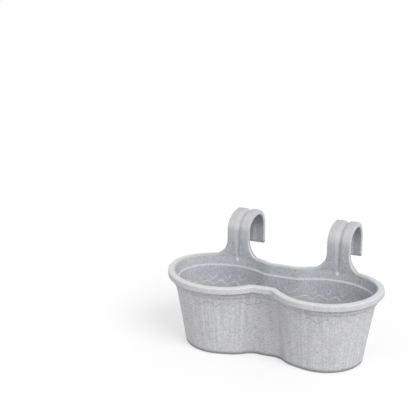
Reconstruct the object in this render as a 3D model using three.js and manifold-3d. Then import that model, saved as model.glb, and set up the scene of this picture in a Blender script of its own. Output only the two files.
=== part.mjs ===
// Balcony planter: a double pot with a waist, a rounded rim, two hooks that hang it on a railing,
// and a push-in plug in the drain hole of each pot.
// Millimetres, +Z up. X runs along the planter, the front faces -Y and the hooks reach back to +Y.
// The origin is on the standing face, midway between the two pots.
import * as THREE from "three";
import { mergeVertices } from "three/addons/utils/BufferGeometryUtils.js";
import Module from "manifold-3d";

// Outline of the rim, seen from above
const LENGTH = 385;
const POT_OFFSET = 93; // centre of each pot from the middle of the planter
const BACK_DEPTH = 78.6; // the back is flatter than the round front
const FRONT_WAIST = 64; // from the centre line to the flat of the waist in front
const FRONT_WAIST_FILLET = 8;
const BACK_WAIST = 58.5;
const BACK_WAIST_FILLET = 23;

// Section of the rim, wall and floor
const RIM_TOP = 135;
const RIM_HEIGHT = 10.5;
const RIM_WIDTH = 13;
const RIM_ROUNDING = 3;
const RIM_LOWER_ROUNDING = 2;
const RIM_SHELL = 3; // the rim is a turned-down lip, open underneath
const NECK_INSET = 9; // outside of the wall under the rim, in from the rim's edge
const STEP_DEPTH = 17; // from the rim's top down to the step in the wall
const STEP_WIDTH = 2.7;
const STEP_SLOPE = 1.2; // height over which the step and the ledge run out
const MOUTH_DRAFT = 3; // how far the mouth narrows from the rim down to the ledge
const LEDGE_WIDTH = 3.5; // ledge inside, level with the step outside
const WALL_THICKNESS = 4; // at the base
const BASE_INSET = 31.5; // the base edge, in from the rim's edge
const BASE_ROUNDING = 4;
const WAIST_FULLNESS = 9; // how much further forward the base stands at the front waist than its inset says
const WAIST_FULLNESS_REACH = 66; // from the middle to where that has run out
const FLOOR_TOP = 6;
const FLOOR_FILLET = 6;

// Shallow round recess under each pot, with the drain hole in its middle
const RECESS_RADIUS = 46;
const RECESS_DEPTH = 3;
const DRAIN_RADIUS = 8;

// Hooks
const HOOK_OFFSET = 94; // middle of each hook from the middle of the planter
const HOOK_WIDTH = 41;
const HOOK_THICKNESS = 9;
const HOOK_REACH = 92; // outside to outside, front leg to back leg
const HOOK_RISE = 75; // top of the arch above the rim
const ARCH_FRONT_HEIGHT = 27.3; // the arch is steeper in front than behind
const ARCH_BACK_HEIGHT = 40;
const ARCH_LAND = 6; // level top of the arch, where the rail bears
const TIP_RISE = 1; // end of the back leg above the rim
const STEM_RISE = 33; // where the hook leaves the stem that grows out of the wall
const STEM_FILLET = 30;
const FLANK_CHAMFER = 1.5;
const CHANNEL_WIDTH = 12;
const CHANNEL_FLOOR = 6;
const CHANNEL_DEPTH = 3;

// Drain plugs
const PLUG_CLEARANCE = 0.3;
const PLUG_HEAD_RADIUS = 12;
const PLUG_HEAD_THICKNESS = 2.5;
const PLUG_GRIP_RADIUS = 4;
const PLUG_GRIP_HEIGHT = 6;
const PLUG_EDGE = 0.8;

// Steps along the curves
const QUARTER_STEPS = 11; // a quarter turn of a pot's outline
const WAIST_TURN_STEPS = 8; // from a pot's foremost or hindmost point to the waist
const FILLET_STEPS = 4;
const FLAT_STEPS = 2;
const ROUNDING_STEPS = 3;
const ARCH_STEPS = 12; // each half of the arch
const ROUND_STEPS = 32;

const POT_RADIUS = LENGTH / 2 - POT_OFFSET;
const STEP_TOP = RIM_TOP - STEP_DEPTH;
const WALL_TOP = STEP_TOP - STEP_SLOPE;
const RIM_UNDERSIDE = RIM_TOP - RIM_HEIGHT;
const HOOK_FRONT = BACK_DEPTH - RIM_WIDTH; // flush with the rim's inner edge
const STEM_TOP = RIM_TOP + STEM_RISE;
const HOOK_TOP = RIM_TOP + HOOK_RISE;
const POT_MIDDLE_Y = (BACK_DEPTH - POT_RADIUS) / 2; // middle of a pot's depth, where its drain hole is

const wasm = await Module();
wasm.setup();

// A geometry as a solid that can be joined and cut.
function solid(geometry) {
  const bare = geometry.clone();
  bare.deleteAttribute("normal");
  bare.deleteAttribute("uv");
  const merged = mergeVertices(bare, 1e-4);
  return new wasm.Manifold(
    new wasm.Mesh({
      numProp: 3,
      vertProperties: new Float32Array(merged.attributes.position.array),
      triVerts: new Uint32Array(merged.index.array),
    }),
  );
}

// The joined or cut solid as a geometry again.
function geometryOf(made) {
  const mesh = made.getMesh();
  const geometry = new THREE.BufferGeometry();
  geometry.setAttribute("position", new THREE.BufferAttribute(mesh.vertProperties, 3));
  geometry.setIndex(new THREE.BufferAttribute(mesh.triVerts, 1));
  geometry.computeVertexNormals();
  return geometry;
}

// Points of an arc round (cx, cy), both ends included.
function arc(cx, cy, radius, from, to, steps) {
  const points = [];
  for (let i = 0; i <= steps; i++) {
    const angle = from + ((to - from) * i) / steps;
    points.push(new THREE.Vector2(cx + radius * Math.cos(angle), cy + radius * Math.sin(angle)));
  }
  return points;
}

// Points of a straight stretch, without its ends.
function between(a, b, steps) {
  const points = [];
  for (let i = 1; i < steps; i++) points.push(a.clone().lerp(b, i / steps));
  return points;
}

// Where a flat waist at this depth meets the two round pots through a fillet.
function waist(depth, fillet) {
  const reach = POT_RADIUS + fillet;
  const flatEnd = POT_OFFSET - Math.sqrt(Math.max(reach ** 2 - (depth + fillet) ** 2, 0));
  const x = Math.max(flatEnd, 0);
  const y = Math.sqrt(reach ** 2 - (POT_OFFSET - x) ** 2);
  return { x, y, angle: Math.atan2(y, POT_OFFSET - x) };
}

// The rim's outline, anticlockwise: round pots and a flat waist in front, and the same form squeezed
// to BACK_DEPTH behind.
function rimOutline() {
  const squeeze = BACK_DEPTH / POT_RADIUS;
  const front = waist(FRONT_WAIST, FRONT_WAIST_FILLET);
  const back = waist(BACK_WAIST / squeeze, BACK_WAIST_FILLET);
  const mirrored = (points) => points.map((p) => new THREE.Vector2(-p.x, p.y)).reverse();
  const squeezed = (points) => points.map((p) => new THREE.Vector2(p.x, p.y * squeeze));
  const quarter = Math.PI / 2;
  const rightFront = [
    ...arc(POT_OFFSET, 0, POT_RADIUS, front.angle - Math.PI, -quarter, WAIST_TURN_STEPS),
    ...arc(POT_OFFSET, 0, POT_RADIUS, -quarter, 0, QUARTER_STEPS).slice(1, -1),
  ];
  const rightBack = squeezed([
    ...arc(POT_OFFSET, 0, POT_RADIUS, 0, quarter, QUARTER_STEPS),
    ...arc(POT_OFFSET, 0, POT_RADIUS, quarter, Math.PI - back.angle, WAIST_TURN_STEPS).slice(1),
    ...arc(back.x, back.y, BACK_WAIST_FILLET, -back.angle, -quarter, FILLET_STEPS).slice(1),
  ]);
  const leftBack = mirrored(rightBack);
  const leftFront = mirrored(rightFront);
  const fillet = arc(front.x, -front.y, FRONT_WAIST_FILLET, quarter, front.angle, FILLET_STEPS).slice(0, -1);
  const leftFillet = mirrored(fillet);
  const flatBack = between(rightBack.at(-1), leftBack[0], FLAT_STEPS);
  const flatFront = between(leftFillet.at(-1), fillet[0], FLAT_STEPS);
  return [...rightFront, ...rightBack, ...flatBack, ...leftBack, ...leftFront, ...leftFillet, ...flatFront, ...fillet];
}

// How far the front wall stands forward of its inset here: most at the foot of the waist.
function fullness(p, z) {
  if (p.y > 0) return 0;
  const near = THREE.MathUtils.smoothstep(WAIST_FULLNESS_REACH - Math.abs(p.x), 0, WAIST_FULLNESS_REACH);
  return WAIST_FULLNESS * near * Math.max(1 - z / WALL_TOP, 0);
}

// The outline moved inwards by an inset, at a height.
function ringAt(outline, inset, z) {
  return outline.map((p, i) => {
    const before = outline.at(i - 1);
    const after = outline[(i + 1) % outline.length];
    const along = after.clone().sub(before).normalize();
    const inwards = inset - fullness(p, z);
    return new THREE.Vector3(p.x - inwards * along.y, p.y + inwards * along.x, z);
  });
}

// A closed surface through rings with equal numbers of points. The first and last ring get flat caps,
// whose triangles come from the plane outline that the rings share.
function loft(rings, plane) {
  const count = plane.length;
  const positions = rings.flat().flatMap((p) => [p.x, p.y, p.z]);
  const index = [];
  for (let r = 0; r + 1 < rings.length; r++) {
    for (let i = 0; i < count; i++) {
      const a = r * count + i;
      const b = r * count + ((i + 1) % count);
      index.push(a, b, b + count, a, b + count, a + count);
    }
  }
  const last = (rings.length - 1) * count;
  for (const [a, b, c] of THREE.ShapeUtils.triangulateShape(plane, [])) {
    index.push(a, c, b, last + a, last + b, last + c);
  }
  const geometry = new THREE.BufferGeometry();
  geometry.setAttribute("position", new THREE.Float32BufferAttribute(positions, 3));
  geometry.setIndex(index);
  return geometry;
}

// Inset and height of each row of the pot's section, from the base over the rim to the floor inside.
function potSection() {
  const wallInset = NECK_INSET + STEP_WIDTH;
  const mouthInset = RIM_WIDTH + MOUTH_DRAFT;
  const ledgeInset = mouthInset + LEDGE_WIDTH;
  const outerAt = (z) => THREE.MathUtils.mapLinear(z, 0, WALL_TOP, BASE_INSET, wallInset);
  const innerAt = (z) => THREE.MathUtils.mapLinear(z, 0, WALL_TOP, BASE_INSET + WALL_THICKNESS, ledgeInset);
  const filletTop = FLOOR_TOP + FLOOR_FILLET;
  const rounding = (x, y, radius, from, to) => arc(x, y, radius, from, to, ROUNDING_STEPS);
  const quarter = Math.PI / 2;
  return [
    ...rounding(outerAt(BASE_ROUNDING) + BASE_ROUNDING, BASE_ROUNDING, BASE_ROUNDING, -quarter, -Math.PI),
    new THREE.Vector2(wallInset, WALL_TOP),
    new THREE.Vector2(NECK_INSET, STEP_TOP),
    new THREE.Vector2(NECK_INSET, RIM_TOP - RIM_SHELL),
    new THREE.Vector2(RIM_SHELL, RIM_TOP - RIM_SHELL),
    new THREE.Vector2(RIM_SHELL, RIM_UNDERSIDE),
    ...rounding(RIM_LOWER_ROUNDING, RIM_UNDERSIDE + RIM_LOWER_ROUNDING, RIM_LOWER_ROUNDING, -quarter, -Math.PI),
    ...rounding(RIM_ROUNDING, RIM_TOP - RIM_ROUNDING, RIM_ROUNDING, Math.PI, quarter),
    ...rounding(RIM_WIDTH - RIM_ROUNDING, RIM_TOP - RIM_ROUNDING, RIM_ROUNDING, quarter, 0),
    new THREE.Vector2(mouthInset, STEP_TOP),
    new THREE.Vector2(ledgeInset, WALL_TOP),
    ...rounding(innerAt(filletTop) + FLOOR_FILLET, filletTop, FLOOR_FILLET, -Math.PI, -quarter),
  ];
}

function potGeometry(outline) {
  const rings = potSection().map((row) => ringAt(outline, row.x, row.y));
  return loft(rings, outline);
}

// Section across a hook: x across it, y the depth below its outer face. The outer face has a channel
// down its middle and the inner face a rib behind it.
function hookSection() {
  const flank = HOOK_WIDTH / 2;
  const edge = flank - FLANK_CHAMFER;
  const lip = CHANNEL_WIDTH / 2;
  const bed = CHANNEL_FLOOR / 2;
  const half = [
    [bed, CHANNEL_DEPTH],
    [lip, 0],
    [edge, 0],
    [flank, FLANK_CHAMFER],
    [flank, HOOK_THICKNESS - FLANK_CHAMFER],
    [edge, HOOK_THICKNESS],
    [lip, HOOK_THICKNESS],
    [bed, HOOK_THICKNESS + CHANNEL_DEPTH],
  ];
  const right = half.map(([x, y]) => new THREE.Vector2(x, y));
  const left = half.map(([x, y]) => new THREE.Vector2(-x, y)).reverse();
  return [...right, ...left];
}

// A quarter of the arch, from one angle to another, with the middle of its ellipse at y.
function archQuarter(y, height, from, to) {
  const radius = (HOOK_REACH - ARCH_LAND) / 2;
  return arc(0, 0, 1, from, to, ARCH_STEPS).map((unit) => {
    const out = new THREE.Vector2(unit.x / radius, unit.y / height).normalize();
    return { y: y + radius * unit.x, z: HOOK_TOP - height * (1 - unit.y), outY: out.x, outZ: out.y };
  });
}

// The hook's outer line in the YZ plane, with the direction that its outer face looks.
function hookLine() {
  const middle = HOOK_FRONT + HOOK_REACH / 2;
  const quarter = Math.PI / 2;
  return [
    { y: HOOK_FRONT, z: STEM_TOP, outY: -1, outZ: 0 },
    ...archQuarter(middle - ARCH_LAND / 2, ARCH_FRONT_HEIGHT, 2 * quarter, quarter),
    ...archQuarter(middle + ARCH_LAND / 2, ARCH_BACK_HEIGHT, quarter, 0),
    { y: HOOK_FRONT + HOOK_REACH, z: RIM_TOP + TIP_RISE, outY: 1, outZ: 0 },
  ];
}

// Rings of the hook's section at stations along a line, for the hook centred on x = centre.
function hookRings(section, stations, centre) {
  return stations.map((s) =>
    section.map((p) => new THREE.Vector3(centre + p.x, s.y - p.y * s.outY, s.z - p.y * s.outZ)),
  );
}

function hookGeometry(centre) {
  const section = hookSection();
  return loft(hookRings(section, hookLine(), centre), section);
}

// The stem of a hook: a tongue with the hook's own section, which grows out of the back wall.
function stemGeometry(centre) {
  const section = hookSection();
  const foot = { y: HOOK_FRONT, z: RIM_UNDERSIDE + RIM_LOWER_ROUNDING, outY: -1, outZ: 0 };
  const head = { ...foot, z: STEM_TOP };
  return loft(hookRings(section, [foot, head], centre), section);
}

// The web that widens the stem into the rim, with a concave round at each side. It follows the rim's
// outline and is as thick as the rim between its roundings.
function stemWeb(outline, centre) {
  const reach = HOOK_WIDTH / 2 + STEM_FILLET;
  const foot = RIM_TOP - RIM_LOWER_ROUNDING;
  const bottom = RIM_TOP - RIM_SHELL;
  const shape = new THREE.Shape();
  shape.moveTo(-reach, bottom);
  shape.lineTo(reach, bottom);
  shape.absarc(reach, foot + STEM_FILLET, STEM_FILLET, -Math.PI / 2, -Math.PI, true);
  shape.absarc(-reach, foot + STEM_FILLET, STEM_FILLET, 0, -Math.PI / 2, true);
  const plate = new THREE.ExtrudeGeometry(shape, {
    depth: BACK_DEPTH,
    bevelEnabled: false,
    curveSegments: FILLET_STEPS * 2,
  });
  plate.rotateX(Math.PI / 2);
  plate.translate(centre, BACK_DEPTH, 0);
  const within = (inset) => solid(loft([ringAt(outline, inset, bottom), ringAt(outline, inset, STEM_TOP)], outline));
  const band = within(RIM_ROUNDING).subtract(within(RIM_WIDTH - FLANK_CHAMFER));
  return solid(plate).intersect(band);
}

// An upright cylinder on a pot's middle, from one height to another.
function pillarGeometry(radius, centre, from, to) {
  const pillar = new THREE.CylinderGeometry(radius, radius, to - from, ROUND_STEPS);
  pillar.rotateX(Math.PI / 2);
  pillar.translate(centre, POT_MIDDLE_Y, (from + to) / 2);
  return pillar;
}

// The double pot: walls, rim, floor and the stems of both hooks in one moulding.
function potShellGeometry() {
  const outline = rimOutline();
  let pot = solid(potGeometry(outline));
  for (const side of [-1, 1]) {
    pot = pot.add(solid(stemGeometry(side * HOOK_OFFSET)));
    pot = pot.add(stemWeb(outline, side * HOOK_OFFSET));
    pot = pot.subtract(solid(pillarGeometry(RECESS_RADIUS, side * POT_OFFSET, -RECESS_DEPTH, RECESS_DEPTH)));
    pot = pot.subtract(solid(pillarGeometry(DRAIN_RADIUS, side * POT_OFFSET, 0, FLOOR_TOP * 2)));
  }
  return geometryOf(pot);
}

// A drain plug about its own axis, with z = 0 on the floor that its head covers.
function plugGeometry() {
  const shank = DRAIN_RADIUS - PLUG_CLEARANCE;
  const end = RECESS_DEPTH - FLOOR_TOP;
  const under = PLUG_CLEARANCE;
  const top = under + PLUG_HEAD_THICKNESS;
  const profile = [
    [0, end],
    [shank - PLUG_EDGE, end],
    [shank, end + PLUG_EDGE],
    [shank, under],
    [PLUG_HEAD_RADIUS - PLUG_EDGE, under],
    [PLUG_HEAD_RADIUS, under + PLUG_EDGE],
    [PLUG_HEAD_RADIUS, top - PLUG_EDGE],
    [PLUG_HEAD_RADIUS - PLUG_EDGE, top],
    [PLUG_GRIP_RADIUS + PLUG_EDGE, top],
    [PLUG_GRIP_RADIUS, top + PLUG_EDGE],
    [PLUG_GRIP_RADIUS, top + PLUG_GRIP_HEIGHT - PLUG_EDGE],
    [PLUG_GRIP_RADIUS - PLUG_EDGE, top + PLUG_GRIP_HEIGHT],
    [0, top + PLUG_GRIP_HEIGHT],
  ];
  const points = profile.map(([radius, height]) => new THREE.Vector2(radius, height));
  return new THREE.LatheGeometry(points, ROUND_STEPS).rotateX(Math.PI / 2);
}

// Matt light grey plastic with a stone look, and a softer dark grey for the plugs.
const stonePlastic = () => new THREE.MeshStandardMaterial({ color: 0xb9babc, roughness: 0.8, metalness: 0 });
const plugPlastic = () => new THREE.MeshStandardMaterial({ color: 0x5c5e61, roughness: 0.6, metalness: 0 });

function piece(name, geometry, material) {
  const mesh = new THREE.Mesh(geometry, material);
  mesh.name = name;
  return mesh;
}

const planter = new THREE.Group();
planter.add(piece("double_pot", potShellGeometry(), stonePlastic()));
for (const [side, name] of [
  [-1, "left"],
  [1, "right"],
]) {
  planter.add(piece("hook_" + name, hookGeometry(side * HOOK_OFFSET), stonePlastic()));
  const plug = piece("drain_plug_" + name, plugGeometry(), plugPlastic());
  plug.position.set(side * POT_OFFSET, POT_MIDDLE_Y, FLOOR_TOP);
  planter.add(plug);
}

export default planter;
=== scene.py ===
"""A double balcony planter: two round pots joined at a waist, two arched hooks and two drain plugs."""
import math
from collections import namedtuple

import bmesh
import bpy
import numpy as np
from bpy.props import FloatProperty, FloatVectorProperty, IntProperty, PointerProperty
from mathutils import Matrix, Vector


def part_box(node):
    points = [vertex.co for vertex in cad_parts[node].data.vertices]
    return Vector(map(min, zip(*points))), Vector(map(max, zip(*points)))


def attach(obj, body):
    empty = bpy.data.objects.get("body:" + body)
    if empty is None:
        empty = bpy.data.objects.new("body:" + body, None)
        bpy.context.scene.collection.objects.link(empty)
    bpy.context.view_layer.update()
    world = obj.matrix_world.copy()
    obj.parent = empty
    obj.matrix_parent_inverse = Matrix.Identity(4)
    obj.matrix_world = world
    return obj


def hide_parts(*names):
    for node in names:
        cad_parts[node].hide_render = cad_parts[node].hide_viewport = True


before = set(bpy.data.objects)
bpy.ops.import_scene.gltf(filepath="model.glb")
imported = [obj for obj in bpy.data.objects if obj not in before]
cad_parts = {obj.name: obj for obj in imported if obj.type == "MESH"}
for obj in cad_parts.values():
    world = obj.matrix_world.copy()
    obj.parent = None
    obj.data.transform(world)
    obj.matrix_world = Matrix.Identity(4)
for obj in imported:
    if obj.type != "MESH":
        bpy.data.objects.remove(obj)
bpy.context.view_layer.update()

bl_info = {
    "name": "Balcony planter",
    "version": (1, 0, 0),
    "blender": (4, 5, 0),
    "location": "View3D > Sidebar > Planter",
    "description": "Builds a double balcony planter with two hooks and two drain plugs",
    "category": "Add Mesh",
}

# Places that the packed model gives, in metres
POT_LOW, POT_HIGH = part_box("double_pot")
HOOK_LOW, HOOK_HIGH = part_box("hook_right")
PLUG_LOW, PLUG_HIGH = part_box("drain_plug_right")

MM = 0.001
QUARTER_TURN = math.pi / 2


def linear_colour(code):
    """A linear RGB colour from an sRGB hex value."""
    shares = [int(code[i:i + 2], 16) / 255 for i in (1, 3, 5)]
    return tuple(s / 12.92 if s <= 0.04045 else ((s + 0.055) / 1.055) ** 2.4 for s in shares)


def size(name, description, default):
    """A length that a user can set, in millimetres here and in metres in Blender."""
    return FloatProperty(
        name=name, description=description, default=default * MM, min=0, unit="LENGTH", precision=4
    )


def amount(name, description, default):
    """A share or a strength that a user can set."""
    return FloatProperty(name=name, description=description, default=default, min=0)


def angle(name, description, degrees):
    """An angle that a user can set."""
    return FloatProperty(
        name=name, description=description, default=math.radians(degrees), subtype="ANGLE"
    )


def colour(name, description, code):
    """A colour that a user can set."""
    return FloatVectorProperty(
        name=name, description=description, default=linear_colour(code), subtype="COLOR",
        size=3, min=0, max=1,
    )


class PlanterPotSizes(bpy.types.PropertyGroup):
    """Sizes of the double pot. Its length and depths come from the packed model."""

    front_waist: size("Front waist", "Centre line to the flat of the waist in front", 64)
    front_waist_fillet: size("Front waist fillet", "Round between a pot and the waist in front", 8)
    back_waist: size("Back waist", "Centre line to the flat of the waist behind", 58.5)
    back_waist_fillet: size("Back waist fillet", "Round between a pot and the waist behind", 23)
    rim_top: size("Rim top", "Height of the rim", 135)
    rim_height: size("Rim height", "Height of the turned-down lip", 10.5)
    rim_width: size("Rim width", "Width of the rim", 13)
    rim_rounding: size("Rim rounding", "Round on both upper edges of the rim", 2.4)
    lip_rounding: size("Lip rounding", "Round on the lower edge of the lip", 1.2)
    lip_wall: size("Lip wall", "Thickness of the lip", 3)
    neck_inset: size("Neck inset", "Outside of the neck, in from the rim's edge", 9)
    step_depth: size("Step depth", "Top of the rim to the ledge inside", 17)
    neck_depth: size("Neck depth", "Top of the rim to the step outside", 21)
    step_width: size("Step width", "Width of the step outside", 2.7)
    step_slope: size("Step slope", "Height over which the step and the ledge run out", 1.2)
    mouth_draft: size("Mouth draft", "How far the mouth narrows down to the ledge", 3)
    ledge_width: size("Ledge width", "Width of the ledge inside", 3)
    wall: size("Wall", "Thickness of the wall at the base", 4)
    base_inset: size("Base inset", "Base edge, in from the rim's edge", 31.5)
    base_rounding: size("Base rounding", "Round on the base edge", 4)
    waist_fullness: size("Waist fullness", "How much further forward the base stands at the waist", 9)
    waist_reach: size("Waist fullness reach", "From the middle to where the fullness has run out", 66)
    floor_top: size("Floor top", "Height of the floor inside", 6)
    floor_fillet: size("Floor fillet", "Round between the floor and the wall inside", 6)
    recess_radius: size("Recess radius", "Round recess under each pot", 46)
    recess_depth: size("Recess depth", "Depth of the recess under each pot", 3)
    drain_radius: size("Drain radius", "Radius of the drain holes", 8)


class PlanterHookSizes(bpy.types.PropertyGroup):
    """Sizes of the hooks. Their place, width, reach and height come from the packed model."""

    thickness: size("Thickness", "Thickness of a hook", 9)
    arch_front: size("Front arch", "Height of the arch above its front leg", 27.3)
    arch_back: size("Back arch", "Height of the arch above its back leg", 40)
    arch_land: size("Arch land", "Level top of the arch, where the rail bears", 6)
    stem_fillet: size("Stem fillet", "Concave round where a hook leaves the rim", 30)
    edge: size("Edge", "Chamfer along the edges of a hook", 1.5)
    channel_lip: size("Channel lip", "Half the width of the channel at the surface", 6.3)
    channel_bed: size("Channel bed", "Half the width of the channel's floor", 0.8)
    channel_depth: size("Channel depth", "Depth of the channel down the middle", 3.2)
    channel_narrow: amount("Channel foot width", "Share of its width near the foot", 0.55)
    channel_foot: size("Channel foot", "Height at which the channel starts", 130)
    channel_full: size("Channel full depth", "Height at which the channel is at full depth", 186)
    channel_run: size("Channel run", "Height over which the channel starts at its foot", 8)
    channel_least: amount("Channel foot depth", "Share of its depth near the foot", 0.3)
    tip_chamfer: size("Tip chamfer", "Chamfer inside the end of the back leg", 1.8)
    gate_mark: size("Gate mark", "Radius of the moulding mark at the foot of a hook", 2.6)
    gate_height: size("Gate mark height", "Height of the moulding mark", 128.5)
    gate_rise: size("Gate mark rise", "How far the moulding mark stands out", 1)


class PlanterReliefSizes(bpy.types.PropertyGroup):
    """The shallow relief on the walls: flutes that end in arches, and scallops inside above them."""

    count: IntProperty(
        name="Flutes", description="Flutes and scallops round the planter", default=30, min=4
    )
    line: size("Scallop line", "Height of the scallops' tops", 116)
    drop: size("Scallop drop", "How far each scallop hangs down", 24)
    arches: size("Arches outside", "Height of the arches' feet outside", 96)
    row: size("Arches inside", "Height of the arches' feet inside", 80)
    rise: size("Arch rise", "How far each arch rises", 9)
    edge: size("Arch edge", "Height over which the step under an arch turns", 1.6)
    mark: size("Mark", "Half the width of the line drawn along the scallops and arches", 0.8)
    step: size("Arch step", "Depth of the step under the arches", 0.3)
    flute: size("Flute depth", "Depth of the flutes", 0.3)
    fade: size("Flute fade", "Height above the base over which the flutes run out", 45)


class PlanterPlugSizes(bpy.types.PropertyGroup):
    """Sizes of the drain plugs. Their place and outer size come from the packed model."""

    clearance: size("Clearance", "Gap round the shank and under the head", 0.3)
    head_thickness: size("Head thickness", "Thickness of the head", 2.5)
    grip_radius: size("Grip radius", "Radius of the finger grip", 4)
    edge: size("Edge", "Round on the edges", 0.6)


class PlanterFinishes(bpy.types.PropertyGroup):
    """Colours of the mouldings."""

    outside: colour("Outside", "Stone-effect plastic outside", "#C5C5C7")
    # The inside's cooler, darker grey is painted shade: the pots' insides and the lower face of each hook
    # lie out of the light.
    inside: colour("Inside", "Stone-effect plastic inside, a little cooler and darker", "#C3C6CB")
    dark_grain: colour("Dark grain", "Dark grains in the stone effect", "#9FA0A4")
    # The pale edge colour is a painted highlight, laid on the rim's top, the ledge, the moulding mark and
    # the lines inside.
    highlight_colour: colour("Pale edge", "Edges where the skin of the moulding is drawn thin", "#E2E4E7")
    plug: colour("Plug", "Soft grey plastic of the drain plugs", "#5C5E61")


class PlanterStage(bpy.types.PropertyGroup):
    """Floor, light and camera."""

    floor_colour: colour("Floor", "Pale floor", "#FFFFFF")
    sky_strength: amount("Sky strength", "Even light from all round", 0.58)
    key_strength: amount("Key strength", "Soft key light", 1.85)
    key_width: angle("Key width", "How wide the key light looks from the planter", 35)
    key_azimuth: angle("Key azimuth", "Key light, right of the front", 56)
    key_elevation: angle("Key elevation", "Key light above the floor", 46)
    camera_azimuth: angle("Camera azimuth", "Camera, right of the front", 23.03)
    camera_elevation: angle("Camera elevation", "Downward tilt of the camera", 17.48)
    camera_place: FloatVectorProperty(
        name="Camera place", description="Where the camera stands",
        default=(0.5153, -1.5058, 0.7575), subtype="XYZ",
    )
    lens: FloatProperty(name="Lens", description="Focal length", default=84.98, min=1, unit="CAMERA")


# How finely the mesh is divided
PLAIN_STEP = 2.5 * MM  # spacing of the columns round the plain rim
WALL_STEP = 1.35 * MM  # spacing of the rows across the arches and scallops
LEG_STEP = 4 * MM  # spacing of the rings along a hook's legs
PLAIN_ROWS = 18  # rows of the wall below the arches
BASE_STEPS = 5  # round the base edge, and round the edge of the floor inside
STEP_RINGS = 5  # over the step outside
NECK_SHARES = (0.1, 0.3, 0.65, 1)  # where the rings of the neck lie, from the step to the lip
LIP_STEPS = 4  # round the lower edge of the lip
EDGE_STEPS = 6  # round each upper edge of the rim
CROWN_STEPS = 10  # across the rim's crown
STEM_SHARES = (0.35, 0.7)  # where two rings lie up the concave round behind a hook
MARK_ROWS = (2.4 * MM, 1.2 * MM, 0, -1.2 * MM, -2.4 * MM)  # rows about the moulding mark
MOUTH_ROWS = (5 * MM, 2.5 * MM, 0.7 * MM)  # rows of the mouth above the ledge
FILLET_STEPS = 14  # along the concave round beside a hook
FACE_STEPS = 5  # across a hook's face, beside its channel
CHANNEL_STEPS = 8  # across half the channel
ARCH_STEPS = 22  # along each half of a hook's arch
CIRCLE_STEPS = 64
BEVEL_STEPS = 3
WAIST_LINE_STEPS = (40, 80)  # along the rim line, in a front and a back fillet of the waist
POT_LINE_STEPS = 600  # along the rim line, in the front or back half of a pot

# Small fixed sizes and shapes
DIRECTION_REACH = 0.4 * MM  # from a point of the rim line to those that give its direction
ROW_MARGIN = 2 * MM  # the close rows start this far below the lower arches
LIP_CHAMFER = 0.6 * MM  # on the hidden edges under the rim
LIP_START = 0.2  # radians of the lip's round beyond its lowest point
STEM_FOOT = 1.4 * MM  # round where the rim's crown turns up a hook's back
STEM_FOOT_MIDDLE = 0.4 * MM  # the middle point of that round
LEDGE_START = 0.3 * MM  # the ledge starts this far in from the mouth
LEDGE_TURN = 0.5 * MM  # its inner edge turns down this far before its end
LEDGE_TURN_HEIGHT = 0.4 * MM
LEDGE_END = 0.1 * MM
WALL_HEAD = 0.6 * MM  # from the ledge down to the inner wall's first row
CLIMB_BLEND = 5 * MM  # rise over which the rim's crown becomes a hook
STRAIGHT_SHARE = 0.8  # of the concave round, over which the rim's curve becomes a hook's straight back
TIP_EDGE = 0.4 * MM  # chamfer round the tip of a hook
NEAR = 0.001 * MM  # points closer than this are at the same place across a hook
FLAT = 0.01 * MM  # points closer than this are at the same height
WELD = 0.02 * MM  # points closer than this are merged
PLATE_DIGITS = 6  # of a metre, to which two points as modelled agree
CUT_DIGITS = 5  # of a metre, to which a point agrees with itself after the floor is cut
SMOOTH_ANGLE = math.radians(38)
BEVEL_ANGLE = math.radians(40)
GRIP_SLOPE = 3  # the plug's grip slopes out by this many edges
FLOOR_SIZE = 60  # metres
SCALLOP_BEND = 1.6  # 1 draws each scallop as a V, 2 as a U
NUMBERS = ("column", "row", "station")  # what each point of the moulding is numbered by
NO_COLUMN = -1  # marks the floor plate's own points

# Sizes of the patterns in the plastics
GRAIN_SIZE = 1.7857 * MM  # of the filler
CLOUD_SIZE = 13.333 * MM  # of the clouds in the skin
STREAK_SIZE = 4.348 * MM  # across the streaks down the wall
STREAK_STRETCH = 20  # times as long as wide
PATCH_SIZE = 55.556 * MM  # of the patches where streaks and marks are stronger
SATIN_SIZE = 0.52632 * MM  # of the plugs' satin grain

# How strong the painted highlights on raised edges are and how dark the painted shade in hollows, from 0
# to 1
RIM_HIGHLIGHT = 0.65
RIM_HIGHLIGHT_DEPTH = 2.4 * MM  # how far the rim's painted highlight comes down its lip
LEDGE_HIGHLIGHT = 0.2
# Painted shade under the lip, on the base edge, at the wall's foot, in the waist's hollow, at the step
# and on the neck
LIP_SHADE = 0.9
BASE_SHADE = 1.0
FOOT_SHADE = 0.4
WAIST_SHADE = 0.13
STEP_SHADE = 0.6
STEP_FADE = 8  # how fast the step's painted shade line fades up the neck
NECK_SHADE = 1.0
# Painted shade inside each hook and along its tip
HOOK_INSIDE_SHADE = 0.5
GROOVE_SHADE = 0.6  # a painted shade line along the middle of the back rim
GROOVE_GROWTH = 2  # how fast that painted line grows towards the back, with the depth of the pot as 1
GROOVE_START = 0.8
HOOK_CROWN_SHADE = 1.15  # painted shade inside the top of the arch
TIP_SHADE = 0.8
# Painted highlight on the moulding mark at a hook's foot
GATE_LIGHT = 0.65
ARCH_SHADOW = 1.0  # painted shadow under the arches outside
SHADE_LEVEL = 0.5  # what a full painted shade takes from the brightness
RIM_GRAIN = 0.6  # the grain is fainter on drawn edges than on the walls
HOOK_FOOT_GRAIN = 0.9
HOOK_TOP_GRAIN = 0.5
FLANK_INSIDE = 0.4  # share of the inside's darker tone, a painted shade, on a hook's flanks
NECK_WALL = 0.6  # share of the wall's streaks on the neck
FOOT_RUN = 3 * MM  # height over which the painted shade at the wall's foot fades
TONE_START = 145 * MM  # a hook's face has the inside's darker tone, painted shade, below this height
TONE_END = 200 * MM  # and the outside's tone above this one

FLOOR_WHITENESS = 0.55  # how far the camera sees the floor plain white

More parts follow.
